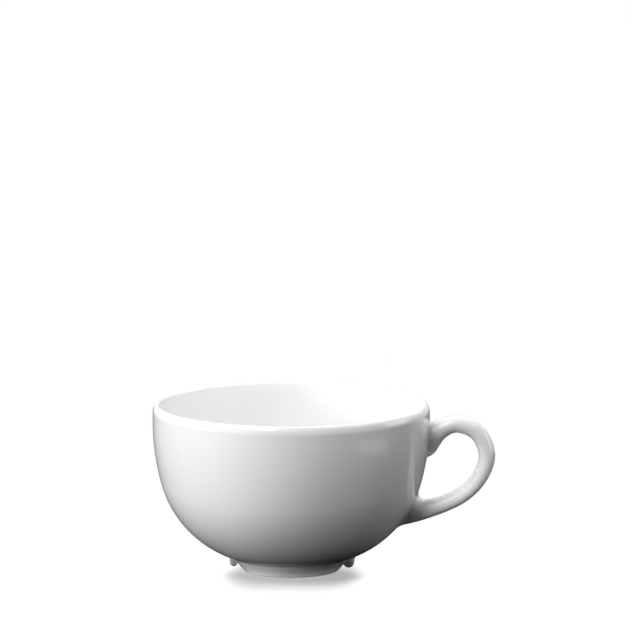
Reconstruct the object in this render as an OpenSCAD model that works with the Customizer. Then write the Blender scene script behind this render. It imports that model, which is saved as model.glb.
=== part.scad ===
// Cappuccino cup: a round bowl on a flared foot ring, with a finger loop on one side
// and two small lugs under the bowl. Millimetres, +Z up. The origin is the middle of
// the face that the cup stands on, and the handle points along +X.

/* [Bowl] */
// Outside diameter at the rim
cup_d = 102; // [92:1:116]
// Height from the table to the rim
cup_h = 62; // [57:1:69]
// Thickness of the wall up the side
wall_t = 2.6; // [2:0.1:3.4]
// Thickness of the floor
floor_t = 5; // [3:0.1:6]
// Height of the upright band under the rim
rim_band_h = 6.6; // [4:0.2:9]
// Radius of the long curve under the rim band
shoulder_r = 85; // [72:1:110]
// Radius of the rounder curve of the belly
belly_r = 40; // [38:0.5:43]

/* [Foot ring] */
// Height of the underside above the table
foot_rise = 3; // [2:0.1:4.5]
// Outside diameter of the face that it stands on
foot_land_d = 32; // [28:0.5:38]
// Width of that face
foot_land_w = 2.8; // [2:0.1:4]
// Rounding of the outer bottom edge
foot_edge_r = 2.2; // [1:0.1:2.4]
// Rounding of the inner bottom edge
foot_inner_edge_r = 0.8; // [0.4:0.1:1.2]
// Slope of the outer side, from level
foot_side_deg = 48; // [42:1:62]
// Lean of the inner side, from upright
foot_draft_deg = 15; // [5:1:25]
// Hollow curve in which the ring flares into the bowl
foot_flare_r = 4; // [2:0.2:5]
// Depth by which that curve runs into the bowl
foot_lap = 0.3; // [0.1:0.05:0.5]

/* [Lugs] */
// Distance from the edge of the standing face out to the middle of a lug
lug_offset = 5.2; // [4.8:0.1:8]
// Radius of the round tip
lug_tip_r = 1.55; // [1:0.05:2]
// Radius where the lug grows out of the bowl
lug_root_r = 2.5; // [2.1:0.1:3]
// Clearance between the tip and the table
lug_clear = 1; // [0.6:0.1:1.6]

/* [Handle] */
// Reach of the loop beyond the rim
handle_reach = 24.5; // [21:0.5:30]
// Depth of the crest of the loop below the rim
handle_drop = 3.9; // [2:0.1:6]
// Height from the lower end of the loop to its crest
handle_h = 41.5; // [38:0.5:43.5]
// Thickness of the loop in its own plane
handle_t = 6; // [5:0.1:7]
// Width of the loop across its plane
handle_w = 9.4; // [7:0.1:12]
// Fullness of the oval section, where 2 is an ellipse
section_power = 2.3; // [2:0.05:3]

/* [Slip joints] */
// Thickness of the slip that holds the handle to the bowl
slip_t = 0.4; // [0.2:0.05:0.8]
// Width of the bead of slip that stands out round each end
slip_bead = 0.35; // [0.1:0.05:0.6]

/* [Fineness] */
// Facets in the belly curve of the bowl's outline
belly_steps = 26; // [16:2:40]
// Facets in the shoulder curve
shoulder_steps = 8; // [4:1:16]
// Facets over the rounded lip
lip_steps = 12; // [6:2:20]
// Facets in each small curve of the foot ring and the lugs
edge_steps = 8; // [4:1:14]
// Facets along the loop from one end to the other
loop_steps = 60; // [36:4:72]
// Facets round the loop's section
section_steps = 32; // [20:4:40]

/* [Hidden] */
$fn = 180;

glaze = [0.94, 0.94, 0.93];
glaze_shade = [0.9, 0.9, 0.89];
slip = [0.86, 0.86, 0.84];

cup_r = cup_d / 2;
// One overrun serves all cuts
overrun = wall_t / 2;

// The outline is an upright band, a long shoulder curve and a rounder belly curve,
// each tangent to the next, and a level underside inside the belly curve.
band_z = cup_h - rim_band_h;
belly_z = foot_rise + belly_r;
turn_deg = asin((band_z - belly_z) / (shoulder_r - belly_r));
shoulder_x = cup_r - shoulder_r;
belly_x = shoulder_x + (shoulder_r - belly_r) * cos(turn_deg);

// The inside follows the shoulder at the wall's thickness, and its own belly curve
// is as large as it takes to come level at the floor.
floor_z = foot_rise + floor_t;
inner_shoulder_r = shoulder_r - wall_t;
inner_turn_z = band_z - inner_shoulder_r * sin(turn_deg);
inner_belly_r = (inner_turn_z - floor_z) / (1 - sin(turn_deg));
inner_belly_x = shoulder_x + (inner_shoulder_r - inner_belly_r) * cos(turn_deg);
inner_belly_z = floor_z + inner_belly_r;
lip_r = wall_t / 2;

// Outside radius of the bowl at a height, and height of its underside at a radius
function wall_r(z) =
    z >= band_z ? cup_r
    : z >= band_z - shoulder_r * sin(turn_deg)
        ? shoulder_x + sqrt(pow(shoulder_r, 2) - pow(band_z - z, 2))
        : belly_x + sqrt(pow(belly_r, 2) - pow(belly_z - z, 2));
function underside_z(r) =
    r <= belly_x ? foot_rise : belly_z - sqrt(pow(belly_r, 2) - pow(r - belly_x, 2));

function arc(centre, r, from, to, steps) = [
    for (i = [0 : steps])
        let (a = from + (to - from) * i / steps)
            centre + r * [cos(a), sin(a)]
];
function without_first(list) = [for (i = [1 : len(list) - 1]) list[i]];

// Half outline from the middle of the underside up to the rim band, grown all over
function side_outline(grow) = concat(
    [[0, foot_rise - grow]],
    arc([belly_x, belly_z], belly_r + grow, -90, -turn_deg, belly_steps),
    without_first(arc([shoulder_x, band_z], shoulder_r + grow, -turn_deg, 0,
                      shoulder_steps)));

// Half outline of the inside, from the rim band down to the middle of the floor
inside_outline = concat(
    arc([shoulder_x, band_z], inner_shoulder_r, 0, -turn_deg, shoulder_steps),
    without_first(arc([inner_belly_x, inner_belly_z], inner_belly_r, -turn_deg, -90,
                      belly_steps)),
    [[0, floor_z]]);

// The outside of the bowl as a filled form, grown by a given amount all over
module filled_bowl(grow) {
    rotate_extrude()
        polygon(concat(side_outline(grow),
                       [[cup_r + grow, cup_h - lip_r], [0, cup_h - lip_r]]));
}

module bowl() {
    color(glaze)
        rotate_extrude()
            polygon(concat(side_outline(0),
                           arc([cup_r - lip_r, cup_h - lip_r], lip_r, 0, 180, lip_steps),
                           inside_outline));
}

// The foot ring's outer side leaves the standing face in a round edge, slopes out and
// up, and flares in a hollow curve that runs a little way into the belly.
land_r = foot_land_d / 2;
land_inner_r = land_r - foot_land_w;
side_along = [cos(foot_side_deg), sin(foot_side_deg)];
side_out = [sin(foot_side_deg), -cos(foot_side_deg)];
edge_end = [land_r, foot_edge_r] + foot_edge_r * side_out;
flare_start_line = edge_end + foot_flare_r * side_out - [belly_x, belly_z];
flare_reach = belly_r - foot_lap + foot_flare_r;
flare_run = -flare_start_line * side_along
    - sqrt(pow(flare_start_line * side_along, 2)
           - flare_start_line * flare_start_line + pow(flare_reach, 2));
flare_centre = [belly_x, belly_z] + flare_start_line + flare_run * side_along;
flare_end = [belly_x, belly_z]
    + (flare_centre - [belly_x, belly_z]) * (belly_r - foot_lap) / flare_reach;
ring_top_z = flare_end[1] + foot_lap;
flare_end_deg = 180 + atan2(flare_centre[1] - belly_z, flare_centre[0] - belly_x);
inner_edge_end = [land_inner_r, foot_inner_edge_r]
    - foot_inner_edge_r * [cos(foot_draft_deg), sin(foot_draft_deg)];
inner_top_r = inner_edge_end[0] - (ring_top_z - inner_edge_end[1]) * tan(foot_draft_deg);

module foot_form() {
    rotate_extrude()
        polygon(concat(
            arc([land_r, foot_edge_r], foot_edge_r, -90, foot_side_deg - 90, edge_steps),
            arc(flare_centre, foot_flare_r, foot_side_deg + 90, flare_end_deg, edge_steps),
            [[flare_end[0], ring_top_z], [inner_top_r, ring_top_z]],
            arc([land_inner_r, foot_inner_edge_r], foot_inner_edge_r,
                foot_draft_deg - 180, -90, edge_steps)));
}

module foot_ring() {
    color(glaze_shade)
        difference() {
            foot_form();
            filled_bowl(0);
        }
}

// A lug is a round tip on a neck that swells towards its root in the belly
lug_r = land_r + lug_offset;
lug_tip_z = lug_clear + lug_tip_r;
lug_root_z = underside_z(lug_r);
lug_top_z = underside_z(lug_r + lug_root_r) + overrun;
neck_steps = 8;

module lug_form() {
    rotate_extrude()
        polygon(concat(
            arc([0, lug_tip_z], lug_tip_r, -90, 0, edge_steps),
            [for (i = [1 : neck_steps])
                [lug_tip_r + (lug_root_r - lug_tip_r) * pow(i / neck_steps, 2),
                 lug_tip_z + (lug_root_z - lug_tip_z) * i / neck_steps]],
            [[lug_root_r, lug_top_z], [0, lug_top_z]]));
}

module lug(turn) {
    color(glaze)
        difference() {
            rotate(turn)
                translate([lug_r, 0])
                    lug_form();
            filled_bowl(0);
            foot_form();
        }
}

module handle_side_lug() {
    lug(0);
}

module far_side_lug() {
    lug(180);
}

// The loop is a row of oval sections from the upper root, over the crest, round the
// finger and back along the lower arm. Each row holds the way from the wall to the
// outermost point, the height up the loop, the slope of the section in degrees, and
// the thickness and the width of the section, all as shares but the slope.
loop_shares = [
    [-0.165, 0.766, 90, 2.07, 1.14],
    [-0.005, 0.781, 88, 2.13, 1.12],
    [0.11, 0.81, 87, 2.01, 1.09],
    [0.197, 0.852, 85, 1.7, 1.06],
    [0.308, 0.898, 82, 1.34, 1.03],
    [0.475, 0.925, 80, 1.08, 1],
    [0.676, 0.903, 69, 1.04, 0.98],
    [0.838, 0.845, 50, 1.01, 0.96],
    [0.946, 0.757, 27, 0.99, 0.95],
    [1, 0.646, 3, 1, 0.94],
    [0.976, 0.547, -11, 0.99, 0.94],
    [0.91, 0.451, -24, 0.97, 0.94],
    [0.806, 0.357, -42, 0.95, 0.95],
    [0.655, 0.273, -61, 0.97, 0.96],
    [0.456, 0.204, -73, 1, 0.98],
    [0.25, 0.156, -85, 1.12, 1.02],
    [0.098, 0.14, -96, 1.46, 1.07],
    [-0.028, 0.148, -104, 2, 1.12],
    [-0.146, 0.166, -105, 2.5, 1.15]
];
outermost_row = search(1, [for (row = loop_shares) row[0]])[0];
last_row = len(loop_shares) - 1;
loop_low_z = cup_h - handle_drop - handle_h;
loop_outermost_x = cup_r + handle_reach - handle_t / 2;
// Share of the loop's height at which the lower arm meets the wall
lower_seat_share = 0.15;
upper_seat_x = cup_r;
lower_seat_x = wall_r(loop_low_z + lower_seat_share * handle_h);

// A row of shares turned into sizes: middle x and z, slope, half thickness, half width
function loop_row(i) =
    let (s = loop_shares[i],
         seat_x = i <= outermost_row ? upper_seat_x : lower_seat_x)
    [seat_x + s[0] * (loop_outermost_x - seat_x), loop_low_z + s[1] * handle_h,
     s[2], s[3] * handle_t / 2, s[4] * handle_w / 2];

// Smooth curve through the rows, at any place along the loop
function loop_at(place) =
    let (i = min(floor(place), last_row - 1),
         t = place - i,
         a = loop_row(max(i - 1, 0)),
         b = loop_row(i),
         c = loop_row(i + 1),
         d = loop_row(min(i + 2, last_row)))
    b + t / 2 * (c - a + t * (2 * a - 5 * b + 4 * c - d + t * (3 * b - a - 3 * c + d)));

full_turn_deg = 360;
function signed_power(v, p) = sign(v) * pow(abs(v), p);

// One point of a section: out along its slope, and across the loop's plane
function section_point(row, around, bead) =
    let (out = (row[3] + bead) * signed_power(cos(around), 2 / section_power),
         across = (row[4] + bead) * signed_power(sin(around), 2 / section_power))
    [row[0] + out * cos(row[2]), across, row[1] + out * sin(row[2])];

// Solid through all sections between two places along the loop
module loop_solid(from, to, steps, bead) {
    n = section_steps;
    points = [
        for (i = [0 : steps])
            let (row = loop_at(from + (to - from) * i / steps))
            for (j = [0 : n - 1])
                section_point(row, full_turn_deg * j / n, bead)
    ];
    sides = [
        for (i = [0 : steps - 1], j = [0 : n - 1])
            [i * n + j, i * n + (j + 1) % n, (i + 1) * n + (j + 1) % n, (i + 1) * n + j]
    ];
    ends = [
        [for (j = [n - 1 : -1 : 0]) j],
        [for (j = [0 : n - 1]) steps * n + j]
    ];
    polyhedron(points = points, faces = concat(sides, ends), convexity = 6);
}

module handle() {
    color(glaze)
        difference() {
            loop_solid(0, last_row, loop_steps, 0);
            filled_bowl(slip_t);
        }
}

// Share of the loop at each end that reaches through the slip, and its facets
joint_share = 1 / 6;
joint_steps = 12;

// The slip fills the gap between the bowl and the end of the loop, and stands out in a bead
module slip_joint(from, to) {
    color(slip)
        difference() {
            intersection() {
                loop_solid(from, to, joint_steps, slip_bead);
                filled_bowl(slip_t);
            }
            filled_bowl(0);
        }
}

module upper_slip_joint() {
    slip_joint(0, joint_share * last_row);
}

module lower_slip_joint() {
    slip_joint((1 - joint_share) * last_row, last_row);
}

bowl();
foot_ring();
handle();
upper_slip_joint();
lower_slip_joint();
handle_side_lug();
far_side_lug();
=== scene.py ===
import math

import bpy
from mathutils import Matrix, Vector
import numpy as np


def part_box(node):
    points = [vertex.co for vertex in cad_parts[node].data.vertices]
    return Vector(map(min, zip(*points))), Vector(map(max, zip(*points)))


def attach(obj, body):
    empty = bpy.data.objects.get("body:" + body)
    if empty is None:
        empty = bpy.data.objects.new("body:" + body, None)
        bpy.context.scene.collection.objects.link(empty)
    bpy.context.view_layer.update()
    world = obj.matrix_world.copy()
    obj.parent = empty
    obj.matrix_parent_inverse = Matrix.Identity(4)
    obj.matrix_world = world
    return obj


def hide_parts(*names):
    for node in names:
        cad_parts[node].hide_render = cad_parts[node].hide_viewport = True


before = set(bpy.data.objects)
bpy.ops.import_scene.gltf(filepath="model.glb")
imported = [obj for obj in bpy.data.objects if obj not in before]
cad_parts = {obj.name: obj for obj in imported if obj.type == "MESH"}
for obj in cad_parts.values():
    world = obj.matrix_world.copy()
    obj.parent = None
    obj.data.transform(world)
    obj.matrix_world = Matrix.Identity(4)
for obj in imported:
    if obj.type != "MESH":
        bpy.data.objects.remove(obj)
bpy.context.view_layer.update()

# A white glazed cappuccino cup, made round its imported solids. Lengths are in metres and angles in
# degrees. The cup stands on z = 0, its axis is z and its handle is on +x. An outline is a list of
# (radius, height) points, and a grid of points has rows along a profile and columns round it.

# Sizes of the bowl. The lip is two quarter ellipses, each with its half width and half height.
bowl_low, bowl_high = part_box("bowl")
CUP_RADIUS = bowl_high.x
CUP_HEIGHT = bowl_high.z
UNDERSIDE_Z = bowl_low.z
WALL = 0.0026
FLOOR = 0.005
RIM_BAND = 0.0066
SHOULDER_RADIUS = 0.085
BELLY_RADIUS = 0.040
LIP_OUTSIDE = np.array([0.0017, 0.0034])
LIP_INSIDE = np.array([WALL - LIP_OUTSIDE[0], 0.0013])
POLE_RADIUS = 0.0004

# Sizes of the foot ring. It laps into the bowl by a hair, and its root lies hidden in the bowl's clay.
LAND_RADIUS = 0.0168
LAND_WIDTH = 0.0028
FOOT_EDGE_RADIUS = 0.0011
FOOT_INNER_EDGE_RADIUS = 0.0008
FOOT_SIDE_DEG = 48
FOOT_DRAFT_DEG = 15
FOOT_FLARE_RADIUS = 0.004
FOOT_HOLLOW_RADIUS = 0.001
FOOT_LAP = 0.00002
FOOT_ROOT = 0.0005

# Sizes of the nubs under the belly: their way out from the standing face, their clearance over the
# table, the swell of the neck as a share, and the reach of the hollow curve round the root
NUB_OFFSET = 0.0044
NUB_CLEAR = 0.001
NUB_SWELL = 1.12
NUB_REACH = 0.0006
HANDLE_SIDE_TIP_RADIUS = 0.0021
FAR_SIDE_TIP_RADIUS = 0.00145

# Places up a nub between which it meets the belly, where 1 is the top of the round tip
NUB_TIP_PLACE, NUB_ROOT_PLACE = 1, 3

# Sizes of the finger loop. Its outermost point stays a little inside the solid's, to match the photograph.
# The height of its lower seat is a share of the loop's, and its root the share of a row's spacing by
# which it runs on into the wall.
handle_reach_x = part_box("handle")[1].x
HANDLE_DROP = 0.0037
HANDLE_HEIGHT = 0.0411
HANDLE_THICKNESS = 0.006
HANDLE_WIDTH = 0.0094
HANDLE_INSET = 0.0003
SECTION_POWER = 2.3
LOWER_SEAT_SHARE = 0.15
LOOP_ROOT = 0.12
UPPER_SLIP_REACH = 0.0013
LOWER_SLIP_REACH = 0.0024

# Way from the wall to the outermost point, height up the loop, slope of the section in degrees, and
# the section's thickness and width, all as shares but the slope
LOOP_SHARES = np.array([
    [-0.165, 0.766, 90, 2.07, 1.14],
    [-0.005, 0.781, 88, 2.13, 1.12],
    [0.11, 0.81, 87, 2.01, 1.09],
    [0.197, 0.852, 85, 1.7, 1.06],
    [0.308, 0.898, 82, 1.34, 1.03],
    [0.475, 0.925, 80, 1.08, 1],
    [0.676, 0.903, 69, 1.04, 0.98],
    [0.838, 0.845, 50, 1.01, 0.96],
    [0.946, 0.757, 27, 0.99, 0.95],
    [1, 0.646, 3, 1, 0.94],
    [0.976, 0.547, -11, 0.99, 0.94],
    [0.91, 0.451, -24, 0.97, 0.94],
    [0.806, 0.357, -42, 0.95, 0.95],
    [0.655, 0.273, -61, 0.97, 0.96],
    [0.456, 0.204, -73, 1, 0.98],
    [0.25, 0.156, -85, 1.12, 1.02],
    [0.098, 0.14, -96, 1.46, 1.07],
    [-0.028, 0.148, -104, 2, 1.12],
    [-0.146, 0.166, -105, 2.5, 1.15],
])

# Depths of the hidden edges where a piece runs into the bowl: the lap of the hollow curve past its two
# ends and how far that lap is sunk, and the depth and tuck of the edge that closes the piece inside
SEAT_LAP = 0.0003
SEAT_SINK = 0.00003
HIDDEN_DEPTH = 0.0006
HIDDEN_TUCK = 0.0004

# Fineness of the meshes: columns round a piece, rows along it, and steps in each part of an outline
BOWL_COLUMNS = 288
NUB_COLUMNS = 64
LOOP_COLUMNS = 72
LOOP_ROWS = 260
NECK_ROWS = 25
SEAT_ROWS = 9
LEVEL_STEPS = 8
BAND_STEPS = 8
FLOOR_STEPS = 10
BELLY_STEPS = 56
INNER_BELLY_STEPS = 52
SHOULDER_STEPS = 26
OUTER_LIP_STEPS = 20
INNER_LIP_STEPS = 14
FOOT_EDGE_STEPS = 14
FOOT_SIDE_STEPS = 4
FOOT_FLARE_STEPS = 22
FOOT_HOLLOW_STEPS = 12
FOOT_INNER_SIDE_STEPS = 5
FOOT_INNER_EDGE_STEPS = 10
FOOT_LAND_STEPS = 6
MEETING_SAMPLES = 600
MEETING_STEP = 0.02
TINY_RADIUS = 1e-9


def arc(centre, radius, start_deg, end_deg, steps):
    """Points of an arc at evenly spread angles.

    Each is the centre plus the radius, or the pair of half axes, times the cosine and sine of its angle.
    """
    angle = np.radians(np.linspace(start_deg, end_deg, steps + 1))
    return np.asarray(centre) + radius * np.column_stack([np.cos(angle), np.sin(angle)])


def line(start, end, steps):
    """Evenly spread points from start to end, without either."""
    share = np.linspace(0, 1, steps + 1)[1:-1, None]
    return np.asarray(start) * (1 - share) + np.asarray(end) * share


def turned(outline, columns):
    """Grid of an outline turned about z: radius times (cos, sin) of the angle, at the same height."""
    angle = np.linspace(0, 2 * math.pi, columns, endpoint=False)
    radius, height = outline[:, :1], outline[:, 1:]
    return np.stack([radius * np.cos(angle), radius * np.sin(angle), height + 0 * angle], axis=-1)


def unit(vectors):
    """Vectors of length one along the given ones."""
    return vectors / np.linalg.norm(vectors, axis=-1, keepdims=True)


def closed_piece(name, grid, ring=False):
    """Makes a closed mesh from a grid of points whose columns run round and meet.

    Neighbouring rows and columns span four-sided faces. The rows meet too where ring is true, and
    otherwise a fan of triangles closes each end row at its middle. The sign of the enclosed volume, a
    sixth of the sum of the corners' triple products, says whether all faces have to be turned round to
    point outwards.
    """
    rows, columns = grid.shape[:2]
    points = grid.reshape(-1, 3)
    row = np.arange(rows if ring else rows - 1)[:, None] * columns
    column = np.arange(columns)[None, :]
    beside = (column + 1) % columns
    above = (row + columns) % (rows * columns)
    quads = np.stack([row + column, row + beside, above + beside, above + column], axis=-1).reshape(-1, 4)
    if ring:
        fans = np.zeros((0, 3), int)
    else:
        points = np.vstack([points, grid[0].mean(0), grid[-1].mean(0)])
        first, last = rows * columns, rows * columns + 1
        end = (rows - 1) * columns
        fans = np.vstack([
            np.stack([np.full(columns, first), beside[0], column[0]], axis=-1),
            np.stack([end + column[0], end + beside[0], np.full(columns, last)], axis=-1)])
    triangles = np.vstack([quads[:, :3], quads[:, [0, 2, 3]], fans])
    a, b, c = (points[triangles[:, i]] for i in range(3))
    if np.einsum("ij,ij->", a, np.cross(b, c)) < 0:
        quads, fans = quads[:, ::-1], fans[:, ::-1]
    mesh = bpy.data.meshes.new(name)
    mesh.from_pydata(points.tolist(), [], quads.tolist() + fans.tolist())
    mesh.shade_smooth()
    mesh.validate()
    piece = bpy.data.objects.new(name, mesh)
    bpy.context.scene.collection.objects.link(piece)
    return piece


# The bowl's outline: an upright band, a shoulder circle, a belly circle and a level underside, each
# tangent to the next. The shoulder turns into the belly at the angle turn below level. The inside
# follows the shoulder, then a belly circle that comes level at the floor.
band_z = CUP_HEIGHT - RIM_BAND
turn = math.asin((band_z - UNDERSIDE_Z - BELLY_RADIUS) / (SHOULDER_RADIUS - BELLY_RADIUS))
turn_deg = math.degrees(turn)
turn_way = np.array([math.cos(turn), -math.sin(turn)])
shoulder_centre = np.array([CUP_RADIUS - SHOULDER_RADIUS, band_z])
belly_centre = shoulder_centre + (SHOULDER_RADIUS - BELLY_RADIUS) * turn_way
inner_shoulder_radius = SHOULDER_RADIUS - WALL
inner_turn = shoulder_centre + inner_shoulder_radius * turn_way
floor_z = UNDERSIDE_Z + FLOOR
inner_belly_radius = (inner_turn[1] - floor_z) / (1 - math.sin(turn))
inner_belly_centre = inner_turn - inner_belly_radius * turn_way
lip_top_radius = CUP_RADIUS - LIP_OUTSIDE[0]


def from_wall(points):
    """Distance of points outside the bowl's outer surface, and its unit normal next to them.

    A point is nearest to the circle in whose sector it lies. Its distance is the length of its arm from
    the circle's centre less the radius. Over the shoulder's centre only the radius from the cup's axis
    counts, and inside the belly's centre only the height.
    """
    radius = np.hypot(points[..., 0], points[..., 1])
    flat = np.stack([radius, points[..., 2]], axis=-1)
    shoulder_arm = flat - shoulder_centre
    belly_arm = flat - belly_centre
    shoulder_arm[..., 1] = np.minimum(shoulder_arm[..., 1], 0)
    belly_arm[..., 0] = np.maximum(belly_arm[..., 0], 0)
    on_belly = np.arctan2(shoulder_arm[..., 1], shoulder_arm[..., 0]) < -turn
    arm = np.where(on_belly[..., None], belly_arm, shoulder_arm)
    gap = np.linalg.norm(arm, axis=-1) - np.where(on_belly, BELLY_RADIUS, SHOULDER_RADIUS)
    way = unit(arm)
    across = way[..., :1] * points[..., :2] / np.maximum(radius, TINY_RADIUS)[..., None]
    return gap, np.concatenate([across, way[..., 1:]], axis=-1)


def onto_wall(points, depth=0.0):
    """Nearest points of the bowl's outer surface, sunk into the wall by a depth."""
    gap, normal = from_wall(points)
    return points - (gap + depth)[..., None] * normal


def make_body():
    """The bowl, turned from one outline: under, up the outside, over the lip, and down to the floor.

    The outline is made of level and upright lines, circular arcs and the lip's two quarter ellipses. Its
    ends stop short of the axis, and a fan closes each.
    """
    outer_lip_centre = (lip_top_radius, CUP_HEIGHT - LIP_OUTSIDE[1])
    inner_lip_centre = (lip_top_radius, CUP_HEIGHT - LIP_INSIDE[1])
    lip_foot = (CUP_RADIUS, outer_lip_centre[1])
    inner_lip_foot = (CUP_RADIUS - WALL, inner_lip_centre[1])
    inner_band_foot = (CUP_RADIUS - WALL, band_z)
    outer_pole = (POLE_RADIUS, UNDERSIDE_Z)
    inner_pole = (POLE_RADIUS, floor_z)
    outline = np.vstack([
        [outer_pole],
        line(outer_pole, (belly_centre[0], UNDERSIDE_Z), LEVEL_STEPS),
        arc(belly_centre, BELLY_RADIUS, -90, -turn_deg, BELLY_STEPS),
        arc(shoulder_centre, SHOULDER_RADIUS, -turn_deg, 0, SHOULDER_STEPS)[1:],
        line((CUP_RADIUS, band_z), lip_foot, BAND_STEPS),
        arc(outer_lip_centre, LIP_OUTSIDE, 0, 90, OUTER_LIP_STEPS),
        arc(inner_lip_centre, LIP_INSIDE, 90, 180, INNER_LIP_STEPS)[1:],
        line(inner_lip_foot, inner_band_foot, BAND_STEPS),
        arc(shoulder_centre, inner_shoulder_radius, 0, -turn_deg, SHOULDER_STEPS),
        arc(inner_belly_centre, inner_belly_radius, -turn_deg, -90, INNER_BELLY_STEPS)[1:],
        line((inner_belly_centre[0], floor_z), inner_pole, FLOOR_STEPS),
        [inner_pole]])
    return closed_piece("cup_body", turned(outline, BOWL_COLUMNS))


def make_foot():
    """The foot ring, turned from a closed outline.

    Its outer side leaves the standing face in a round edge, slopes out and up, and flares in a hollow
    curve tangent to the belly circle: the flare's centre lies on a line parallel to the side, at the
    sum of both radii from the belly's centre. Its inner side leans in and ends in a hollow curve tangent
    to the underside.
    """
    side = math.radians(FOOT_SIDE_DEG)
    side_along = np.array([math.cos(side), math.sin(side)])
    side_out = np.array([math.sin(side), -math.cos(side)])
    edge_centre = np.array([LAND_RADIUS, FOOT_EDGE_RADIUS])
    edge_end = edge_centre + FOOT_EDGE_RADIUS * side_out
    flare_line = edge_end + FOOT_FLARE_RADIUS * side_out - belly_centre
    reach = BELLY_RADIUS - FOOT_LAP + FOOT_FLARE_RADIUS
    ahead = flare_line @ side_along
    run = -ahead - math.sqrt(ahead ** 2 - flare_line @ flare_line + reach ** 2)
    flare_arm = flare_line + run * side_along
    flare_centre = belly_centre + flare_arm
    flare_end_deg = 180 + math.degrees(math.atan2(flare_arm[1], flare_arm[0]))
    flare = arc(flare_centre, FOOT_FLARE_RADIUS, FOOT_SIDE_DEG + 90, flare_end_deg, FOOT_FLARE_STEPS)
    root = flare[-1] - flare_arm / np.linalg.norm(flare_arm) * FOOT_ROOT

    draft = math.radians(FOOT_DRAFT_DEG)
    draft_along = np.array([-math.sin(draft), math.cos(draft)])
    draft_out = np.array([-math.cos(draft), -math.sin(draft)])
    inner_centre = np.array([LAND_RADIUS - LAND_WIDTH, FOOT_INNER_EDGE_RADIUS])
    inner_start = inner_centre + FOOT_INNER_EDGE_RADIUS * draft_out
    hollow_line = inner_start + FOOT_HOLLOW_RADIUS * draft_out
    hollow_top = onto_wall(np.array([hollow_line[0], 0.0, UNDERSIDE_Z]))[2]
    climb = (hollow_top - FOOT_HOLLOW_RADIUS - hollow_line[1]) / draft_along[1]
    hollow_centre = hollow_line + climb * draft_along
    hollow = arc(hollow_centre, FOOT_HOLLOW_RADIUS, FOOT_DRAFT_DEG, 90, FOOT_HOLLOW_STEPS)
    hollow_root = hollow[-1] + np.array([0.0, FOOT_ROOT])

    outline = np.vstack([
        arc(edge_centre, FOOT_EDGE_RADIUS, -90, FOOT_SIDE_DEG - 90, FOOT_EDGE_STEPS),
        line(edge_end, flare[0], FOOT_SIDE_STEPS),
        flare,
        [root],
        [hollow_root],
        hollow[::-1],
        line(hollow[0], inner_start, FOOT_INNER_SIDE_STEPS),
        arc(inner_centre, FOOT_INNER_EDGE_RADIUS, FOOT_DRAFT_DEG - 180, -90, FOOT_INNER_EDGE_STEPS),
        line((inner_centre[0], 0.0), (LAND_RADIUS, 0.0), FOOT_LAND_STEPS)])
    return closed_piece("cup_foot", turned(outline, BOWL_COLUMNS), ring=True)


# Lowest point of the loop's sizes, and the middle of its section at the outermost point
loop_low_z = CUP_HEIGHT - HANDLE_DROP - HANDLE_HEIGHT
loop_outermost_x = handle_reach_x - HANDLE_THICKNESS / 2 - HANDLE_INSET


def wall_radius(height):
    """Outside radius of the bowl at a height over the turn or on the belly circle."""
    if height >= shoulder_centre[1]:
        return CUP_RADIUS
    if height >= shoulder_centre[1] - SHOULDER_RADIUS * math.sin(turn):
        return shoulder_centre[0] + math.sqrt(SHOULDER_RADIUS ** 2 - (band_z - height) ** 2)
    return belly_centre[0] + math.sqrt(BELLY_RADIUS ** 2 - (belly_centre[1] - height) ** 2)


def loop_rows():
    """The loop's rows as sizes: middle x and z, slope, half thickness and half width."""
    shares = LOOP_SHARES
    outermost = int(np.argmax(shares[:, 0]))
    lower_seat_x = wall_radius(loop_low_z + LOWER_SEAT_SHARE * HANDLE_HEIGHT)
    seat_x = np.where(np.arange(len(shares)) <= outermost, CUP_RADIUS, lower_seat_x)
    return np.column_stack([
        seat_x + shares[:, 0] * (loop_outermost_x - seat_x),
        loop_low_z + shares[:, 1] * HANDLE_HEIGHT,
        shares[:, 2],
        shares[:, 3] * HANDLE_THICKNESS / 2,
        shares[:, 4] * HANDLE_WIDTH / 2])


# Places along the loop count its rows. Each arm runs between two of them into the wall.
LOOP = loop_rows()
LOOP_END = len(LOOP) - 1
UPPER_ARM = (LOOP_END / 3, 0)
LOWER_ARM = (2 * LOOP_END / 3, LOOP_END)


def signed_power(values, power):
    """Powers of the sizes of values, with the values' own signs."""
    return np.sign(values) * np.abs(values) ** power


def loop_points(place):
    """Points of the loop's surface for places along it, one column for each angle round the section.

    Between two rows each size follows the cubic through both whose slopes are half the difference of
    the rows on either side. The section is a full oval: half thickness times the power of the cosine
    outwards along its slope, and half width times the power of the sine across the loop's plane.
    """
    place = np.broadcast_to(place, (len(place), LOOP_COLUMNS))
    i = np.clip(place.astype(int), 0, LOOP_END - 1)
    t = (place - i)[..., None]
    a, b = LOOP[np.maximum(i - 1, 0)], LOOP[i]
    c, d = LOOP[i + 1], LOOP[np.minimum(i + 2, LOOP_END)]
    size = b + t / 2 * (c - a + t * (2 * a - 5 * b + 4 * c - d + t * (3 * b - a - 3 * c + d)))
    angle = np.linspace(0, 2 * math.pi, LOOP_COLUMNS, endpoint=False)
    slope = np.radians(size[..., 2])
    out = size[..., 3] * signed_power(np.cos(angle), 2 / SECTION_POWER)
    across = size[..., 4] * signed_power(np.sin(angle), 2 / SECTION_POWER)
    x = size[..., 0] + out * np.cos(slope)
    z = size[..., 1] + out * np.sin(slope)
    return np.stack([x, across, z], axis=-1)


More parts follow.
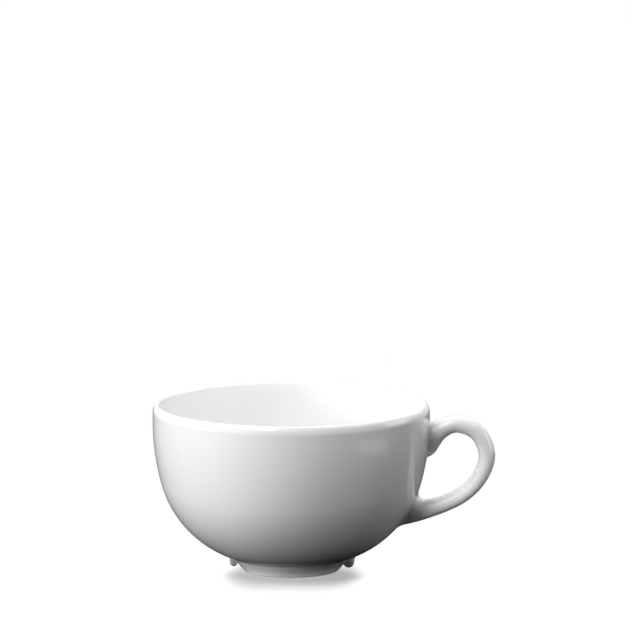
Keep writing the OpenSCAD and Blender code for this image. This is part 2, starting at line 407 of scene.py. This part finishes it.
def nub_points(place, centre, tip_radius):
    """Points of a nub for places up it.

    Up to place 1 they are a round tip: tip radius times the cosine and sine of the lift. Past it they are
    a neck, level by level, whose radius swells with the square of the way up to the belly.
    """
    place = np.broadcast_to(place, (len(place), NUB_COLUMNS))
    tip_z = NUB_CLEAR + tip_radius
    root_z = onto_wall(np.array([centre, 0.0, UNDERSIDE_Z]))[2]
    lift = np.radians(90 * (np.minimum(place, 1) - 1))
    up = np.maximum(place - 1, 0)
    radius = tip_radius * np.where(place <= 1, np.cos(lift), 1 + (NUB_SWELL - 1) * up ** 2)
    height = tip_z + np.where(place <= 1, tip_radius * np.sin(lift), (root_z - tip_z) * up)
    angle = np.linspace(0, 2 * math.pi, NUB_COLUMNS, endpoint=False)
    return np.stack([centre + radius * np.cos(angle), radius * np.sin(angle), height], axis=-1)


def wall_meeting(points_at, start, end):
    """Place on each line at which it passes into the bowl's wall, on the way from start to end."""
    places = np.linspace(start, end, MEETING_SAMPLES)
    gap, _ = from_wall(points_at(places[:, None]))
    after = np.maximum(np.argmax(gap < 0, axis=0), 1)
    column = np.arange(gap.shape[1])
    gap_before, gap_after = gap[after - 1, column], gap[after, column]
    share = gap_before / (gap_before - gap_after)
    return places[after - 1] + share * (places[after] - places[after - 1])


def seat(points_at, start, end, reach):
    """Hollow curves from a surface's lines onto the wall, and the hidden rows round them.

    Each curve starts on its line, reach short of the wall, and ends on the wall, reach away from the
    meeting point. With that point as its corner it is (1-u)^2 start + 2u(1-u) corner + u^2 end. Returned
    are the places where the curves leave the lines, a row sunk into the surface before them, the curves,
    a row sunk into the wall beyond them, and a row deep in the wall.
    """
    meeting = wall_meeting(points_at, start, end)
    step = math.copysign(MEETING_STEP, end - start)
    corner = points_at(meeting[None, :])[0]
    pace = np.linalg.norm(corner - points_at((meeting - step)[None, :])[0], axis=-1) / step
    leaving = meeting - reach / pace
    first = points_at(leaving[None, :])[0]
    _, normal = from_wall(corner)
    away = unit(np.cross(normal, np.roll(corner, -1, 0) - np.roll(corner, 1, 0)))
    outwards = np.einsum("ij,ij->i", away, corner - corner.mean(0)).mean()
    away = away * np.sign(outwards)
    last = onto_wall(corner + reach * away)
    u = np.linspace(0, 1, SEAT_ROWS)[:, None, None]
    curve = (1 - u) ** 2 * first + 2 * u * (1 - u) * corner + u ** 2 * last
    on_line = points_at((leaving - SEAT_LAP / pace)[None, :])[0]
    before = on_line + SEAT_SINK * unit(on_line.mean(0) - on_line)
    beyond = onto_wall(corner + (reach + SEAT_LAP) * away, SEAT_SINK)
    deep = corner - HIDDEN_DEPTH * normal - HIDDEN_TUCK * away
    return leaving, before, curve, beyond, deep


def make_loop():
    """The finger loop, a sweep that runs a little way into the wall at both ends."""
    upper = wall_meeting(loop_points, *UPPER_ARM) - LOOP_ROOT
    lower = wall_meeting(loop_points, *LOWER_ARM) + LOOP_ROOT
    share = np.linspace(0, 1, LOOP_ROWS)[:, None]
    places = upper * (1 - share) + lower * share
    return closed_piece("finger_loop", loop_points(places))


def make_slip(name, arm, reach):
    """The slip round one root of the loop: a hollow curve from loop to wall, closed inside both."""
    _, before, curve, beyond, deep = seat(loop_points, *arm, reach)
    return closed_piece(name, np.concatenate([[before], curve, [beyond], [deep]]), ring=True)


def make_nub(name, side, tip_radius):
    """A nub under the belly, on the side +1 or -1: a round tip, a neck and a hollow curve to the belly."""
    centre = side * (LAND_RADIUS + NUB_OFFSET)

    def points_at(place):
        return nub_points(place, centre, tip_radius)

    leaving, _, curve, beyond, deep = seat(points_at, NUB_TIP_PLACE, NUB_ROOT_PLACE, NUB_REACH)
    share = np.linspace(0, 1, NECK_ROWS + 1)[1:, None]
    tip_and_neck = points_at(share * leaving)
    return closed_piece(name, np.concatenate([tip_and_neck, curve[1:], [beyond], [deep]]))


class Finish:
    """A material built node by node, with every pattern on the piece's own Object coordinates."""

    def __init__(self, name):
        self.material = bpy.data.materials.new(name)
        self.material.use_nodes = True
        self.tree = self.material.node_tree
        self.tree.nodes.clear()
        self.output = self.add("ShaderNodeOutputMaterial")
        self.place = self.add("ShaderNodeTexCoord").outputs["Object"]

    def add(self, kind, settings=(), **inputs):
        """Adds a node.

        Settings are its own properties. Inputs are numbers, colours or sockets, by the input's name or by
        an underscore and its place in the list.
        """
        node = self.tree.nodes.new(kind)
        for key, value in dict(settings).items():
            setattr(node, key, value)
        for key, value in inputs.items():
            slot = int(key[1:]) if key[1:].isdigit() else key.replace("_", " ")
            self.feed(node.inputs[slot], value)
        return node

    def feed(self, socket, value):
        """Links a socket to an input, or sets the input to a plain value."""
        if isinstance(value, bpy.types.NodeSocket):
            self.tree.links.new(value, socket)
        else:
            socket.default_value = value

    def noise(self, scale, detail=2.0, roughness=0.5):
        """Smooth noise between 0 and 1, with a scale in cells to the metre."""
        return self.add("ShaderNodeTexNoise", Vector=self.place, Scale=scale, Detail=detail,
                        Roughness=roughness).outputs["Fac"]

    def mapped(self, value, low, high, to_low, to_high, ramp="LINEAR"):
        """A value carried from one range to another, held at its ends."""
        settings = {"clamp": True, "interpolation_type": ramp}
        return self.add("ShaderNodeMapRange", settings, Value=value, From_Min=low, From_Max=high,
                        To_Min=to_low, To_Max=to_high).outputs["Result"]

    def maths(self, operation, first, second=0.0):
        """Arithmetic on two values."""
        return self.add("ShaderNodeMath", {"operation": operation}, _0=first, _1=second).outputs[0]

    def varied(self, scale, detail, low, high):
        """A value that noise carries between a low and a high one."""
        return self.mapped(self.noise(scale, detail), *NOISE_SPAN, low, high)

    def mixed(self, share, first, second):
        """A shader between two, by a share."""
        return self.add("ShaderNodeMixShader", _0=share, _1=first, _2=second).outputs[0]

    def dull(self, colour):
        """A matt surface."""
        return self.add("ShaderNodeBsdfDiffuse", Color=colour).outputs[0]

    def blend(self, share, first, second):
        """A colour between two, by a share."""
        return self.add("ShaderNodeMix", {"data_type": "RGBA"}, _0=share, _6=first, _7=second).outputs[2]

    def glossy(self, colour, dullness, normal):
        """The surface of fired ware: a colour under a coat of the given dullness."""
        return self.add("ShaderNodeBsdfPrincipled", Base_Color=colour, Roughness=dullness, IOR=GLAZE_IOR,
                        Normal=normal).outputs["BSDF"]

    def surface(self, shader):
        """The finished material, with a shader as its surface."""
        self.feed(self.output.inputs["Surface"], shader)
        return self.material


def grey(level):
    """An opaque neutral colour."""
    return (level, level, level, 1.0)


# Tones, dullness and unevenness of the glaze and of the bare clay. Cells are counted to the metre, and a
# height is how far a bump stands out.
NOISE_SPAN = (0.3, 0.7)
GLAZE_LOW = grey(0.86)
GLAZE_HIGH = grey(0.885)
GLAZE_IOR = 1.5
TONE_CELLS = 38
GLOSS_CELLS = 170
WAVE_CELLS, WAVE_STRENGTH, WAVE_HEIGHT = 55, 0.3, 0.0001
RIPPLE_CELLS, RIPPLE_STRENGTH, RIPPLE_HEIGHT = 900, 0.15, 0.00001
BODY_DULLNESS = (0.02, 0.04)
LOOP_DULLNESS = (0.1, 0.13)
FOOT_DULLNESS = 0.07
CLAY_DULLNESS = 0.8
CLAY_LOW = (0.6, 0.58, 0.55, 1)
CLAY_HIGH = (0.72, 0.7, 0.67, 1)
CLAY_CELLS = 1400
CLAY_SPAN = (0.35, 0.65)
GRAIN_CELLS, GRAIN_STRENGTH, GRAIN_HEIGHT = 2600, 0.5, 0.00008
BARE_EDGE = (0.00012, 0.0002)
BARE_EDGE_CELLS = 260
BARE_EDGE_WANDER = 0.00006


def glaze_tone(finish):
    """The glaze's white, which drifts over centimetres."""
    return finish.blend(finish.varied(TONE_CELLS, 3, 0, 1), GLAZE_LOW, GLAZE_HIGH)


def glaze_finish(name, dullness):
    """White gloss glaze with faint waves, finer ripples and a gloss that varies."""
    finish = Finish(name)
    colour = glaze_tone(finish)
    gloss = finish.varied(GLOSS_CELLS, 3, *dullness)
    waves = finish.add("ShaderNodeBump", Height=finish.noise(WAVE_CELLS, 1), Strength=WAVE_STRENGTH,
                       Distance=WAVE_HEIGHT)
    ripples = finish.add("ShaderNodeBump", Height=finish.noise(RIPPLE_CELLS, 2), Strength=RIPPLE_STRENGTH,
                         Distance=RIPPLE_HEIGHT, Normal=waves.outputs["Normal"])
    return finish.surface(finish.glossy(colour, gloss, ripples.outputs["Normal"]))


def foot_finish():
    """Glaze that stops in an uneven line over the bare standing face, which is matt and a little darker."""
    finish = Finish("foot_glaze_and_bare_clay")
    height = finish.add("ShaderNodeSeparateXYZ", Vector=finish.place).outputs["Z"]
    wander = finish.varied(BARE_EDGE_CELLS, 3, -BARE_EDGE_WANDER, BARE_EDGE_WANDER)
    bare = finish.mapped(finish.maths("ADD", height, wander), *BARE_EDGE, 1, 0)
    speckle = finish.mapped(finish.noise(CLAY_CELLS, 4), *CLAY_SPAN, 0, 1)
    clay = finish.blend(speckle, CLAY_LOW, CLAY_HIGH)
    colour = finish.blend(bare, glaze_tone(finish), clay)
    gloss = finish.mapped(bare, 0, 1, FOOT_DULLNESS, CLAY_DULLNESS)
    grain = finish.maths("MULTIPLY", finish.noise(GRAIN_CELLS, 4), bare)
    bump = finish.add("ShaderNodeBump", Height=grain, Strength=GRAIN_STRENGTH, Distance=GRAIN_HEIGHT)
    return finish.surface(finish.glossy(colour, gloss, bump.outputs["Normal"]))


glaze = glaze_finish("white_glaze", BODY_DULLNESS)
loop_glaze = glaze_finish("loop_glaze", LOOP_DULLNESS)
foot_glaze = foot_finish()

# Each piece with the node that it replaces, its slot and its finish
PIECES = [
    (make_body(), "bowl", "glazed_body", glaze),
    (make_foot(), "foot_ring", "foot", foot_glaze),
    (make_loop(), "handle", "glazed_handle", loop_glaze),
    (make_slip("upper_slip", UPPER_ARM, UPPER_SLIP_REACH), "upper_slip_joint", "slip", glaze),
    (make_slip("lower_slip", LOWER_ARM, LOWER_SLIP_REACH), "lower_slip_joint", "slip", glaze),
    (make_nub("handle_side_nub", 1, HANDLE_SIDE_TIP_RADIUS), "handle_side_lug", "glazed_body", glaze),
    (make_nub("far_side_nub", -1, FAR_SIDE_TIP_RADIUS), "far_side_lug", "glazed_body", glaze),
]
for piece, node, slot, finish in PIECES:
    piece.data.materials.append(finish)
    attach(piece, "root")
    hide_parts(node)

# The camera stands as in the photograph, far off with a long lens. Pixels are of the 634 by 634 picture.
PICTURE_SIDE = 634
RIM_WIDTH_PX = 276.9
BASE_X_PX, BASE_Y_PX = 291.2, 569.5
VIEW_AZIMUTH_DEG, VIEW_ELEVATION_DEG = 4.0, 9.63
CAMERA_DISTANCE = 8.0
CAMERA_CLIP_END = 24.0
SENSOR_MM = 36


def direction(azimuth_deg, elevation_deg):
    """Unit vector from the cup towards a place: azimuth 0 is the front, -y, and 90 the handle, +x."""
    a, e = math.radians(azimuth_deg), math.radians(elevation_deg)
    return np.array([math.sin(a) * math.cos(e), -math.cos(a) * math.cos(e), math.sin(e)])


def axes_facing(back):
    """Right and up of a thing whose back points along a unit vector."""
    right = unit(np.cross([0.0, 0.0, 1.0], back))
    return right, np.cross(back, right)


def placed(thing, place, right, up, back):
    """Sets a thing at a place with its x, y and z along right, up and back."""
    matrix = np.eye(4)
    matrix[:3, :] = np.column_stack([right, up, back, place])
    thing.matrix_world = Matrix(matrix.tolist())
    bpy.context.scene.collection.objects.link(thing)
    return thing


def make_camera():
    """The photograph's camera, with the middle of the standing face at its own pixel."""
    metres_per_px = 2 * CUP_RADIUS / RIM_WIDTH_PX
    back = direction(VIEW_AZIMUTH_DEG, VIEW_ELEVATION_DEG)
    right, up = axes_facing(back)
    middle_px = PICTURE_SIDE / 2
    aim = metres_per_px * ((middle_px - BASE_X_PX) * right + (BASE_Y_PX - middle_px) * up)
    lens = bpy.data.cameras.new("camera")
    lens.sensor_width = SENSOR_MM
    lens.lens = SENSOR_MM * CAMERA_DISTANCE / (PICTURE_SIDE * metres_per_px)
    lens.clip_end = CAMERA_CLIP_END
    camera = placed(bpy.data.objects.new("camera", lens), aim + CAMERA_DISTANCE * back, right, up, back)
    bpy.context.scene.camera = camera


make_camera()

# The floor is white to the eye and, past the dark middle, to mirrored rays. Its tones are what it gives
# back to the cup. A pair is where a tone starts and ends its change, as a way from the cup's axis.
FLOOR_SIDE = 6.0
FLOOR_TONE = grey(0.055)
DARK_MIDDLE_RADIUS = 0.7
# Painted shade: a darker tone under the belly, so that less light comes back to the belly's underside
PAINTED_SHADE_UNDER_BELLY_TONE = grey(0.01)
UNDER_BELLY_EDGE = (0.03, 0.05)
# A ring of painted light on the floor next to the foot, which only bounced rays see: it lights the foot's
# lower side
PAINTED_LIGHT_RING_TONE = grey(0.9)
PAINTED_LIGHT_RING_INSIDE = (0.0172, 0.018)
PAINTED_LIGHT_RING_OUTSIDE = (0.0188, 0.021)

# The shadow that the eye sees round the foot is painted: a soft band in which the white gives way to the
# lit floor, which shows the cup's cast shadow. Its middle, its half sizes, how square it is, how soft its
# edge, and the share and tone of the lit floor in it, whose darker tone adds painted shade
SHADE_MIDDLE = (0.0019, -0.0129, 0.0)
SHADE_REACH = (0.0233, 0.0205, 1.0)
SHADE_POWER_X, SHADE_POWER_Y = 4.8, 1.2
SHADE_EDGE = (0.3, 2.07)
SHADE_SHARE = 0.62
PAINTED_SHADOW_TONE = grey(0.4)

# The white card that lies on the floor
CARD_CORNERS = [(0.195, -0.135, 0.001), (0.305, -0.199, 0.001),
                (0.345, -0.024, 0.001), (0.213, -0.023, 0.001)]
CARD_CELLS = 30
CARD_TONES = (0.93, 0.95)


def flat_sheet(name, corners):
    """A sheet with four corners, counted round from above so that it faces up."""
    mesh = bpy.data.meshes.new(name)
    mesh.from_pydata(corners, [], [(0, 1, 2, 3)])
    sheet = bpy.data.objects.new(name, mesh)
    bpy.context.scene.collection.objects.link(sheet)
    return sheet


def painted_shadow_share(finish):
    """Share of the lit floor in what the eye sees, which paints the shadow: full round the foot and nothing
    outside it.

    It falls softly with |x|^a + |y|^b, where x and y are the ways from the shadow's middle over its half
    sizes.
    """
    spread = finish.add("ShaderNodeMapping", {"vector_type": "TEXTURE"}, Vector=finish.place,
                        Location=SHADE_MIDDLE, Scale=SHADE_REACH)
    sides = finish.add("ShaderNodeSeparateXYZ", Vector=spread.outputs["Vector"]).outputs
    across = finish.maths("POWER", finish.maths("ABSOLUTE", sides["X"]), SHADE_POWER_X)
    along = finish.maths("POWER", finish.maths("ABSOLUTE", sides["Y"]), SHADE_POWER_Y)
    return finish.mapped(finish.maths("ADD", across, along), *SHADE_EDGE, SHADE_SHARE, 0.0, "SMOOTHSTEP")


def make_floor():
    """A level floor that the eye sees white, save for a painted shadow round the foot that lets the cup's
    cast shadow show.

    Mirrored rays see it white too, past the dark middle on which the cup stands. The light that it gives
    back to the cup is faint, with painted shade that makes it fainter under the belly, and painted light
    from a pale ring next to the foot, which mirrored rays don't see. From below the eye sees through it.
    """
    half = FLOOR_SIDE / 2
    floor = flat_sheet("floor", [(-half, -half, 0), (half, -half, 0), (half, half, 0), (-half, half, 0)])
    finish = Finish("pale_floor")
    path = finish.add("ShaderNodeLightPath").outputs
    mirrored = finish.maths("MAXIMUM", path["Is Glossy Ray"], path["Is Transmission Ray"])
    way = finish.add("ShaderNodeVectorMath", {"operation": "LENGTH"}, _0=finish.place).outputs["Value"]
    white = finish.add("ShaderNodeEmission", Color=grey(1.0), Strength=1.0).outputs[0]

    # Painted light: a pale ring next to the foot, which mirrored rays don't see
    past_inside = finish.mapped(way, *PAINTED_LIGHT_RING_INSIDE, 0.0, 1.0)
    within_outside = finish.mapped(way, *PAINTED_LIGHT_RING_OUTSIDE, 1.0, 0.0)
    ring = finish.maths("MULTIPLY", past_inside, within_outside)
    painted_light_ring = finish.maths("MULTIPLY", ring, finish.maths("SUBTRACT", 1.0, mirrored))
    # Painted shade: the light given back is darker under the belly
    past_belly = finish.mapped(way, *UNDER_BELLY_EDGE, 0.0, 1.0)
    tone = finish.blend(past_belly, PAINTED_SHADE_UNDER_BELLY_TONE, FLOOR_TONE)
    given_back = finish.dull(finish.blend(painted_light_ring, tone, PAINTED_LIGHT_RING_TONE))
    past_middle = finish.maths("GREATER_THAN", way, DARK_MIDDLE_RADIUS)
    to_cup = finish.mixed(finish.maths("MULTIPLY", mirrored, past_middle), given_back, white)

    # The eye sees a painted shadow: white mixed with the lit floor, which shows the cup's cast shadow
    from_above = finish.mixed(painted_shadow_share(finish), white, finish.dull(PAINTED_SHADOW_TONE))
    below = finish.add("ShaderNodeNewGeometry").outputs["Backfacing"]
    nothing = finish.add("ShaderNodeBsdfTransparent").outputs[0]
    to_eye = finish.mixed(below, from_above, nothing)
    floor.data.materials.append(finish.surface(finish.mixed(path["Is Camera Ray"], to_cup, to_eye)))


def make_card():
    """A card on the floor, right of the picture and unseen by the eye, which the glaze mirrors."""
    card = flat_sheet("white_card", CARD_CORNERS)
    finish = Finish("white_card")
    tone = finish.varied(CARD_CELLS, 2.0, *CARD_TONES)
    card.data.materials.append(finish.surface(finish.dull(tone)))
    card.visible_camera = False


def make_world():
    """White where the eye and mirrored rays see past the floor, and no light of its own on the cup."""
    world = bpy.data.worlds.new("studio")
    bpy.context.scene.world = world
    world.use_nodes = True
    tree = world.node_tree
    tree.nodes.clear()
    path = tree.nodes.new("ShaderNodeLightPath").outputs
    seen, mirrored = (tree.nodes.new("ShaderNodeMath") for _ in range(2))
    seen.operation = mirrored.operation = "MAXIMUM"
    unlit, white = (tree.nodes.new("ShaderNodeBackground") for _ in range(2))
    unlit.inputs["Strength"].default_value = 0.0
    white.inputs["Color"].default_value = grey(1.0)
    mix = tree.nodes.new("ShaderNodeMixShader")
    links = [
        (path["Is Glossy Ray"], mirrored.inputs[0]),
        (path["Is Transmission Ray"], mirrored.inputs[1]),
        (path["Is Camera Ray"], seen.inputs[0]),
        (mirrored.outputs[0], seen.inputs[1]),
        (seen.outputs[0], mix.inputs[0]),
        (unlit.outputs[0], mix.inputs[1]),
        (white.outputs[0], mix.inputs[2]),
        (mix.outputs[0], tree.nodes.new("ShaderNodeOutputWorld").inputs["Surface"]),
    ]
    for output, socket in links:
        tree.links.new(output, socket)


# Name, azimuth, elevation, width, height and power of each soft box, all aimed at the cup's middle
SOFT_BOX_DISTANCE = 1.5
SOFT_BOXES = [
    ("front_left", -30, 14, 0.4, 0.6, 7.5),
    ("front_left_high", -26, 45, 0.5, 0.5, 7.8),
    ("left_low", -78, 9, 0.9, 0.4, 10.8),
    ("left_high", -60, 45, 0.4, 0.5, 5.2),
    ("right_high", 98, 60, 1.0, 0.8, 5.2),
    ("right_side", 105, 18, 0.8, 0.7, 5.8),
    ("right_back", 135, 20, 0.8, 0.7, 1.5),
    ("back", 165, 32, 0.8, 0.8, 1.8),
    ("back_high", -165, 60, 0.8, 0.8, 7.2),
]

# Name, aim, azimuth, elevation, size, spread of the beam in degrees and power of each narrow lamp: one
# lifts the finger loop alone, and one the left of the cup's inside
NARROW_DISTANCE = 0.7
NARROW_LAMPS = [
    ("handle_light", (0.0625, 0.0, 0.030), 20, 22, 0.002, 3.3, 0.0004),
    ("inside_light", (-0.026, 0.028, 0.052), 70, 42, 0.05, 3.5, 0.0019),
]

# The lamp within the foot ring
HOLLOW_LAMP_SIZE = 0.022
HOLLOW_LAMP_Z = 0.0003
HOLLOW_LAMP_WATTS = 0.0008


def area_lamp(name, watts):
    """An area lamp that the camera doesn't see, still to be placed."""
    lamp = bpy.data.lights.new(name, "AREA")
    lamp.energy = watts
    light = bpy.data.objects.new(name, lamp)
    light.visible_camera = False
    return light


def aimed(light, aim, azimuth_deg, elevation_deg, distance):
    """Sets a lamp at a distance from the point that it is aimed at."""
    back = direction(azimuth_deg, elevation_deg)
    return placed(light, np.array(aim) + distance * back, *axes_facing(back), back)


def soft_box(name, azimuth_deg, elevation_deg, width, height, watts):
    """A soft box aimed at the middle of the cup."""
    light = area_lamp(name, watts)
    light.data.shape = "RECTANGLE"
    light.data.size, light.data.size_y = width, height
    return aimed(light, (0.0, 0.0, CUP_HEIGHT / 2), azimuth_deg, elevation_deg, SOFT_BOX_DISTANCE)


def narrow_lamp(name, aim, azimuth_deg, elevation_deg, size, spread_deg, watts):
    """A lamp with a narrow beam and no mirror image in the glaze."""
    light = area_lamp(name, watts)
    light.data.size = size
    light.data.spread = math.radians(spread_deg)
    light.visible_glossy = False
    aimed(light, aim, azimuth_deg, elevation_deg, NARROW_DISTANCE)


def hollow_lamp():
    """A small round lamp within the foot ring, facing up, which lights the underside for the eye below."""
    light = area_lamp("hollow_light", HOLLOW_LAMP_WATTS)
    light.data.shape = "DISK"
    light.data.size = HOLLOW_LAMP_SIZE
    right, up, back = (1.0, 0.0, 0.0), (0.0, -1.0, 0.0), (0.0, 0.0, -1.0)
    placed(light, (0.0, 0.0, HOLLOW_LAMP_Z), right, up, back)


make_floor()
make_card()
make_world()

boxes = {box[0]: soft_box(*box) for box in SOFT_BOXES}
for lamp in NARROW_LAMPS:
    narrow_lamp(*lamp)
hollow_lamp()

# The box at the front left has no mirror image in the glaze. It leaves out the far nub, which is dark on
# its front in the photograph.
boxes["front_left"].visible_glossy = False
left_out = bpy.data.collections.new("nub_shade")
left_out.objects.link(bpy.data.objects["far_side_nub"])
left_out.collection_objects[0].light_linking.link_state = "EXCLUDE"
boxes["front_left"].light_linking.receiver_collection = left_out

bpy.context.scene.view_settings.view_transform = "Standard"
